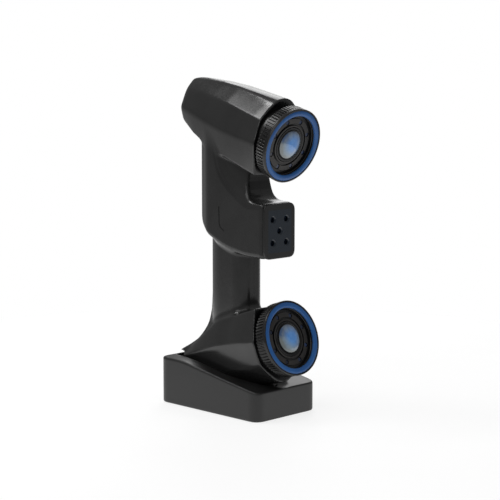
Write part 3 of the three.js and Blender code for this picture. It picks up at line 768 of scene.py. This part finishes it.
def rim_faces_painted_shade(centres, normals):
    """The flat front faces of both heads, behind the rings, which are painted near-black as shade."""
    _, y, z = centres.T
    found = np.zeros(len(centres), bool)
    for side in (1, -1):
        s, _ = head_frame(y, z, side)
        facing = -math.cos(TILT) * normals[:, 1] - side * math.sin(TILT) * normals[:, 2]
        found |= (s > 10) & (s < 32) & (facing > 0.85) & (side * (z - MIRROR_Z) > 45)
    return found


def repaint(node, material):
    """A CAD node that stays gets its own procedural material."""
    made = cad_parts[node]
    for slot in made.material_slots:
        slot.link = "OBJECT"
        slot.material = material


# ------------------------------------------------------------------ scanner housing


def head_matrix(side):
    """Places a head's own frame, whose Y is the lens axis."""
    place = Matrix.Translation((0, FACE_Y * MM, (MIRROR_Z + side * BASELINE / 2) * MM))
    return place @ Matrix.Rotation(side * TILT, 4, "X")


SOCKET_PLACE = Matrix.Translation((0, 0.0366, 0.088)) @ Matrix.Rotation(math.radians(13), 4, "X")


def hollow_field(x, y, z):
    """The space inside the housing, clear of the screw bosses."""
    space = housing(x, y, z) + WALL
    for sy, sz, _ in SHELL_SCREWS:
        space = np.maximum(space, BOSS - np.hypot(y - sy, z - sz))
    return space


def build_housing():
    low = [-2.4, -62, 10]
    high = [40, 81, 330]
    fine = 1.0
    right = field_mesh(
        "housing_right_shell", lambda x, y, z: np.maximum(housing(x, y, z), -1.2 - x), low, high, fine
    )
    hollow = field_mesh(
        "hollow", lambda x, y, z: np.maximum(hollow_field(x, y, z), -1.0 - x), low, high, 2.4, 1
    )
    tools = [hollow, block("keep", (-20, -120, -20), (SEAM, 120, 360))]
    for side in (1, -1):
        tools.append(cylinder("neck", 31.2, -5, 34, count=96, matrix=head_matrix(side)))
    tools.append(block("window", (-16, -60, LASER_Z - 18), (16, -30, LASER_Z + 18)))
    tools.append(block("keys", (-7.2, 37, 198), (7.2, 60, 250.5)))
    tools.append(cylinder("socket", 6.9, -12, 20, matrix=SOCKET_PLACE))
    tools.append(cylinder("seat", 8.1, -1.5, 20, count=64, matrix=SOCKET_PLACE))
    cut(right, tools)
    turn = Matrix.Rotation(math.pi / 2, 4, "Z")
    cut(right, [prism("groove", GROOVE, -23, -GROOVE_FLOOR, turn)])
    left = mirrored(right, "housing_left_shell")
    wells = []
    for y, z, at in SHELL_SCREWS:
        wells.append(cylinder("way", SCREW_WAY, -1, 60, "X", (0, y, z), 24))
        wells.append(cylinder("well", SCREW_WELL, at, 60, "X", (0, y, z), 32))
    cut(right, wells)
    pilots = [
        cylinder("pilot", SCREW_WAY, -11, 1, "X", (0, y, z), 24) for y, z, _ in SHELL_SCREWS
    ]
    cut(left, pilots)
    for half, node in ((right, "housing_right"), (left, "housing_left")):
        dress(smooth(half), SHELL, "housing", "scanner", node)
        # The heads' flat front faces behind the rings get the near-black lens material: painted shade of
        # the crevice.
        paint(half, LENS_BLACK, rim_faces_painted_shade)


# ------------------------------------------------------------------ rings and lenses


def tooth_columns():
    """How far each column stands up, from 0 to 1, with 8 columns to a tooth."""
    return np.tile([0.0, 0.0, 0.75, 1.0, 1.0, 1.0, 0.75, 0.0], TEETH)


def build_ring(side, label):
    lift = tooth_columns()
    root, tip = 34.9, 36.3
    proud = root + lift * (tip - root)
    low_proud = root + lift * (tip - root - 0.35)
    rows = [
        (29.4, 2.4), (29.6, 2.2), (34.9, 2.2), (34.9, 0.25),
        (35.05, 0.05), (35.3, 0), (36.1, 0), (36.35, 0.1), (36.5, 0.35), (36.5, 3.1), (36.3, 3.4),
        (root, 3.5), (low_proud, 3.6), (proud, 3.95), (proud, 8.4), (proud, 12.6), (low_proud, 13.0),
        (root, 13.1), (34.7, 13.4), (33.5, 13.4), (33.5, 3.6), (29.4, 3.6),
    ]
    ring = turned(label + "_bezel", rows, len(lift))
    ring.matrix_world = head_matrix(side)
    dress(smooth(ring), BLACK, "ring_black", label + "_bezel", label + "_bezel_ring")
    rows = [
        (29.5, 2.0), (29.5, 1.0), (29.7, 0.6), (30.3, 0.2), (31.2, -0.1), (32.2, -0.2),
        (33.2, -0.1), (34.1, 0.15), (34.6, 0.4), (34.8, 0.7), (34.8, 2.0),
    ]
    accent = turned(label + "_accent", rows, 192)
    accent.matrix_world = head_matrix(side)
    dress(smooth(accent, 50), BLUE, "accent_blue", label + "_bezel", label + "_accent_ring")


def build_lens(side, label):
    place = head_matrix(side)
    collar = turned(
        label + "_collar_turned",
        [
            (29.2, 4.4), (29.5, 4), (32.9, 4), (33.2, 4.3), (33.2, 12.1), (32.9, 12.4), (30.9, 12.4),
            (30.7, 12.6), (30.7, 33), (29.2, 33),
        ],
        160,
    )
    collar.matrix_world = place
    dress(smooth(collar), BLACK, "ring_black", "scanner", label + "_collar")

    rows = [(17.3, 6.8), (17.3, 4.9), (17.5, 4.6), (18.9, 4.6), (19.2, 4.9), (19.3, 6.2), (20.9, 6.2)]
    rows += [(21.0, 5.3), (21.2, 5.0), (25.8, 5.0), (26.1, 5.3), (26.2, 6.2), (28.9, 6.2), (28.9, 6.8)]
    face = turned(label + "_lamp_ring", rows, 128)
    holes = []
    for i in range(LAMPS):
        angle = 2 * math.pi * (i + 0.5) / LAMPS
        at = (LAMP_CIRCLE * math.cos(angle), 0, LAMP_CIRCLE * math.sin(angle))
        holes.append(cylinder("hole", 2.3, 3, 9, "Y", at, 28))
    cut(face, holes)
    face.matrix_world = place
    dress(smooth(face), FACE, "lens_black", "scanner", label + "_lamp_face")
    # The lamp ring's set-back faces, its grooves and outer bevel, get the near-black lens material:
    # painted shade.
    paint(face, LENS_BLACK, lambda centres, _: centres[:, 1] > 5.4)

    barrel = turned(
        label + "_barrel",
        [
            (14.8, 4.3), (15.1, 4.1), (15.5, 4.1), (15.6, 4.35), (15.9, 4.35), (16.0, 4.1), (16.7, 4.1),
            (17.0, 4.4), (17.0, 20), (15, 20), (15, 34), (11, 34), (11, 13), (14.8, 13),
        ],
        128,
    )
    barrel.matrix_world = place
    dress(smooth(barrel), LENS_BLACK, "lens_black", "scanner", label + "_lens_barrel")

    retainer = turned(
        label + "_retainer",
        [
            (13.65, 6.4), (13.65, 4.3), (13.8, 4.0), (14.1, 3.8), (14.4, 3.8), (14.5, 4.0),
            (14.5, 12.4), (13.7, 12.4),
        ],
        128,
    )
    retainer.matrix_world = place
    dress(smooth(retainer), LENS_BLACK, "lens_black", "scanner", label + "_lens_retainer")

    rows = [(0, 10.6), (13.5, 10.6), (13.5, 4.0)]
    for i in range(1, 13):
        radius = 13.5 * (1 - i / 12)
        rows.append((radius, 3.9 - 2.3 * (1 - (radius / 13.5) ** 2)))
    glass = turned(label + "_glass", rows, 96, closed=False)
    glass.matrix_world = place
    dress(smooth(glass, 40), GLASS, "lens_glass", "scanner", label + "_lens_glass")


# ------------------------------------------------------------------ laser block, keys, socket


def build_front():
    outline = rounded([(21.2, 153.6, 8), (21.2, 206.6, 8), (-21.2, 206.6, 8), (-21.2, 153.6, 8)], 9)
    plate = prism("front_window", outline, -50.1, -47.8, bevel=0.5)
    tools = []
    rows = [(0, -60), (3.8, -60), (3.8, -49.9), (2.7, -49.2), (2.7, -40), (0, -40)]
    for x, z in LASERS:
        way = turned("aperture", rows, 40, closed=False)
        way.data.transform(Matrix.Translation((x * MM, 0, (LASER_Z + z) * MM)))
        tools.append(way)
    cut(plate, tools)
    dress(smooth(plate), PLATE, "front_plate", "scanner", "front_plate")


def dish(name, radius, node, z):
    """A round key with a hollowed top."""
    rows = [
        (0, 41.5), (radius * 0.5, 41.5), (radius * 0.5, 43.4), (radius, 43.4), (radius, 47.2),
        (radius - 0.15, 47.55), (radius - 0.5, 47.75), (radius - 0.9, 47.7), (radius * 0.6, 47.4),
        (radius * 0.3, 47.25), (0, 47.2),
    ]
    key = turned(name, rows, 72, closed=False)
    key.matrix_world = Matrix.Translation((0, 0, z * MM))
    dress(smooth(key), KEY, "key", node, node)


def build_keys():
    outline = rounded([(9.4, 192, 6), (9.4, 252, 6), (-9.4, 252, 6), (-9.4, 192, 6)], 9)
    plate = prism("key_surround", outline, 45.3, 46.5, bevel=0.4)
    tools = [
        cylinder("way", radius + 0.3, 40, 60, "Y", (0, 0, z), 56)
        for _, z, radius in KEYS
    ]
    tools.append(cylinder("pipe", 1.8, 40, 60, "Y", (0, 0, STATUS_Z), 24))
    cut(plate, tools)
    dress(smooth(plate), TRIM, "trim_black", "scanner", "key_bezel")
    for key, z, radius in KEYS:
        dish(key + "_button", radius, key + "_key", z)
    rows = [(0, 41), (1.5, 41), (1.5, 46.4), (1.2, 46.65), (0.6, 46.8), (0, 46.85)]
    pipe = turned("status_lens", rows, 32, closed=False)
    pipe.matrix_world = Matrix.Translation((0, 0, STATUS_Z * MM))
    dress(smooth(pipe), LIGHT, "light_pipe", "scanner", "status_light")


def build_socket():
    shell = turned(
        "socket_shell",
        [
            (5.0, -0.4), (5.3, 0), (7.5, 0), (7.8, -0.3), (7.8, -1.2), (6.6, -1.2), (6.6, -9), (5.0, -9),
        ],
        72,
    )
    shell.matrix_world = SOCKET_PLACE
    dress(smooth(shell), STEEL, "steel", "scanner", "cable_socket")
    rows = [(0, -9), (4.7, -9), (4.7, -6.7), (4.5, -6.5), (0, -6.5)]
    insert = turned("socket_core", rows, 48, closed=False)
    contacts = []
    for i in range(CONTACTS):
        angle = 2 * math.pi * (i + 0.5) / CONTACTS
        at = (2.7 * math.cos(angle), 0, 2.7 * math.sin(angle))
        contacts.append(cylinder("contact", 0.6, -8, -5, "Y", at, 16))
    cut(insert, contacts)
    insert.matrix_world = SOCKET_PLACE
    dress(smooth(insert), BRASS, "brass", "scanner", "socket_insert")


def hexagon(radius, columns):
    """A hexagon's radius at each column."""
    angle = 2 * np.pi * np.arange(columns) / columns
    return radius * math.cos(math.pi / 6) / np.cos(np.mod(angle, math.pi / 3) - math.pi / 6)


def screw(name, cap, shank, end, place, body, node):
    """A socket-headed screw. The cap is (radius, height), and the shank a radius."""
    radius, height = cap
    hexed = hexagon(radius * 0.52, 36)
    rows = [
        (0, end), (shank * 0.7, end), (shank, end + 0.6), (shank, 0), (radius, 0),
        (radius, height - 0.3),
        (radius - 0.3, height), (hexed, height), (hexed, height - 1.3), (0, height - 1.5),
    ]
    made = turned(name, rows, 36, closed=False)
    made.matrix_world = place
    dress(smooth(made), STEEL, "steel", body, node)


def build_screws():
    for i, (y, z, at) in enumerate(SHELL_SCREWS):
        place = Matrix.Translation((at * MM, y * MM, z * MM))
        place = place @ Matrix.Rotation(-math.pi / 2, 4, "Z")
        name = "shell_screw_%d" % (i + 1)
        screw("socket_screw_%d" % (i + 1), (2.8, 2.6), 1.5, -9 - at, place, "scanner", name)


# ------------------------------------------------------------------ cradle


def build_cradle():
    fine = 1.0
    low = [-45, -63, -2]
    high = [45, 80, 50]
    shell = field_mesh("cradle_body_shell", cradle, low, high, fine)

    def space(x, y, z):
        wedge = smax(polygon(y, z, CRADLE_SIDE_LINE), polygon(np.abs(x), y, CRADLE_PLAN_LINE), 2.4)
        plan = polygon(np.abs(x), y, CRADLE_PLAN_LINE) + 3
        inner = np.minimum(wedge + 3, np.maximum(plan, z - 4.4))
        inner = np.maximum(inner, 7.4 - head(np.abs(x), y, z, -1, False))
        for bx, by in ((33, -36), (33, 50)):
            inner = np.maximum(inner, np.minimum(4 - np.hypot(np.abs(x) - bx, y - by), z - 3.7))
        return np.maximum(inner, -3 - z)

    hollow = field_mesh("hollow", space, [-45, -63, -6], high, 2.0, 1)
    bores = [hollow]
    bores += [cylinder("bore", 1.7, 0, 14, "Z", (x, y, 0), 24) for x in (-33, 33) for y in (-36, 50)]
    cut(shell, bores)
    dress(smooth(shell), BASE, "cradle_body", "cradle", "cradle_shell")

    def liner(x, y, z):
        skin = head(np.abs(x), y, z, -1, False)
        wedge = polygon(y, z, CRADLE_SIDE_LINE) + 5
        plan = polygon(np.abs(x), y, CRADLE_PLAN_LINE) + 5
        return np.maximum(np.maximum(skin - 4.1, 0.4 - skin), np.maximum(wedge, plan))

    pad = field_mesh("cradle_pad", liner, [-45, -60, 2], [45, 76, 50], 1.2, 1)
    dress(smooth(pad), RUBBER, "rubber", "cradle", "cradle_liner")


def build_feet():
    for name in ("front_left", "front_right", "rear_left", "rear_right"):
        x = -31 if "left" in name else 31
        y = -49 if "front" in name else 66
        rows = [(0, 0.25), (4.6, 0.25), (4.9, 0), (5.5, 0), (6, 0.5), (6, 1.7), (0, 1.7)]
        foot = turned("pad_" + name, rows, 48, closed=False)
        foot.matrix_world = Matrix.Translation((x * MM, y * MM, 0)) @ Matrix.Rotation(math.pi / 2, 4, "X")
        dress(smooth(foot), RUBBER, "rubber", "cradle", "foot_" + name)


build_housing()
for _side, _label in ((1, "upper"), (-1, "lower")):
    build_ring(_side, _label)
    build_lens(_side, _label)
build_front()
build_keys()
build_socket()
build_screws()
build_cradle()
build_feet()

for _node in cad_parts:
    if "lamp_board" in _node:
        repaint(_node, LAMP)
    elif "board" in _node:
        repaint(_node, BOARD)
    elif "camera_body" in _node or _node in ("laser_block", "optical_frame"):
        repaint(_node, ALUMINIUM)
    elif _node.startswith("laser_"):
        repaint(_node, APERTURE)
    elif "screw" in _node or _node == "ballast_plate":
        repaint(_node, STEEL)
    elif _node == "cradle_cover":
        repaint(_node, TRIM)

# ------------------------------------------------------------------ stage, light and camera


# The camera: where it looks, in metres, its angles in degrees, its distance and its lens.
TARGET = Vector((0, -0.00975, 0.1582))
CAMERA_TURN = -45.32
CAMERA_RISE = 7.2
CAMERA_DISTANCE = 1.4544
CAMERA_LENS = 107.06

# Each panel's name, direction, distance, size and power.
PANELS = (
    ("back_softbox", (-0.38, 0.40, 0.83), 1.3, (0.40, 0.42), 3.4),
    ("top_strip", (-0.12, 0.37, 0.92), 1.2, (0.08, 0.08), 0.45),
    ("upper_right", (0.50, 0.44, 0.75), 1.3, (0.35, 0.6), 2.2),
    ("right_softbox", (0.72, 0.55, 0.34), 1.4, (0.5, 0.7), 1.7),
    ("front_fill", (-1.0, -0.3, 0.9), 1.8, (1.2, 1.2), 6),
)


def build_stage():
    """A pale floor that glows a little."""
    floor = turned("floor", [(0, 0), (600, 0)], 96, closed=False)
    if floor.data.polygons[0].normal.z < 0:
        floor.data.flip_normals()
    floor.data.transform(Matrix.Rotation(math.pi / 2, 4, "X"))
    n = Nodes("pale_floor")
    cloud = n.noise(8.0, 2.0)
    look = n.mix(cloud, (0.28, 0.28, 0.28), (0.31, 0.31, 0.31))
    n.set(Base_Color=look, Roughness=0.9, Emission_Color=(1.0, 1.0, 1.0), Emission_Strength=0.78)
    floor.data.materials.append(n.material)


def area_light(name, direction, distance, size, power):
    """A soft panel that faces the object from a direction."""
    light = bpy.data.lights.new(name, "AREA")
    light.shape = "RECTANGLE"
    light.size, light.size_y = size
    light.energy = power
    made = bpy.data.objects.new(name, light)
    bpy.context.scene.collection.objects.link(made)
    away = Vector(direction).normalized()
    made.location = TARGET + away * distance
    made.rotation_mode = "QUATERNION"
    made.rotation_quaternion = away.to_track_quat("Z", "Y")
    return made


def build_light():
    """White to the camera, a grey gradient to reflections, and five panels."""
    world = bpy.data.worlds.new("studio")
    bpy.context.scene.world = world
    world.use_nodes = True
    tree = world.node_tree
    tree.nodes.clear()

    def add(kind):
        return tree.nodes.new(kind)

    coord = add("ShaderNodeTexCoord")
    apart = add("ShaderNodeSeparateXYZ")
    ramp = add("ShaderNodeValToRGB")
    path = add("ShaderNodeLightPath")
    room = add("ShaderNodeBackground")
    back = add("ShaderNodeBackground")
    pick = add("ShaderNodeMixShader")
    out = add("ShaderNodeOutputWorld")
    shift = add("ShaderNodeMapRange")
    shift.inputs["From Min"].default_value = -1
    tree.links.new(coord.outputs["Generated"], apart.inputs[0])
    tree.links.new(apart.outputs["Z"], shift.inputs["Value"])
    tree.links.new(shift.outputs["Result"], ramp.inputs["Fac"])
    elements = ramp.color_ramp.elements
    elements[0].position, elements[0].color = 0.0, (0.45, 0.45, 0.45, 1)
    elements[1].position, elements[1].color = 1.0, (0.4, 0.4, 0.4, 1)
    for position, grey in ((0.38, 0.42), (0.45, 0.34), (0.52, 0.2), (0.6, 0.26), (0.85, 0.3)):
        element = elements.new(position)
        element.color = (grey, grey, grey, 1)
    tree.links.new(ramp.outputs["Color"], room.inputs["Color"])
    back.inputs["Color"].default_value = (1, 1, 1, 1)
    tree.links.new(path.outputs["Is Camera Ray"], pick.inputs["Fac"])
    tree.links.new(room.outputs[0], pick.inputs[1])
    tree.links.new(back.outputs[0], pick.inputs[2])
    tree.links.new(pick.outputs[0], out.inputs["Surface"])
    for panel in PANELS:
        area_light(*panel)


def build_camera():
    data = bpy.data.cameras.new("camera")
    data.lens = CAMERA_LENS
    data.sensor_width = 36.0
    data.clip_start, data.clip_end = 0.05, 20.0
    camera = bpy.data.objects.new("camera", data)
    bpy.context.scene.collection.objects.link(camera)
    turn, rise = math.radians(CAMERA_TURN), math.radians(CAMERA_RISE)
    level = math.cos(rise)
    back = Vector((math.sin(turn) * level, -math.cos(turn) * level, math.sin(rise)))
    camera.location = TARGET + back * CAMERA_DISTANCE
    camera.rotation_mode = "QUATERNION"
    camera.rotation_quaternion = back.to_track_quat("Z", "Y")
    bpy.context.scene.camera = camera


build_stage()
build_light()
build_camera()
bpy.context.scene.view_settings.view_transform = "Standard"
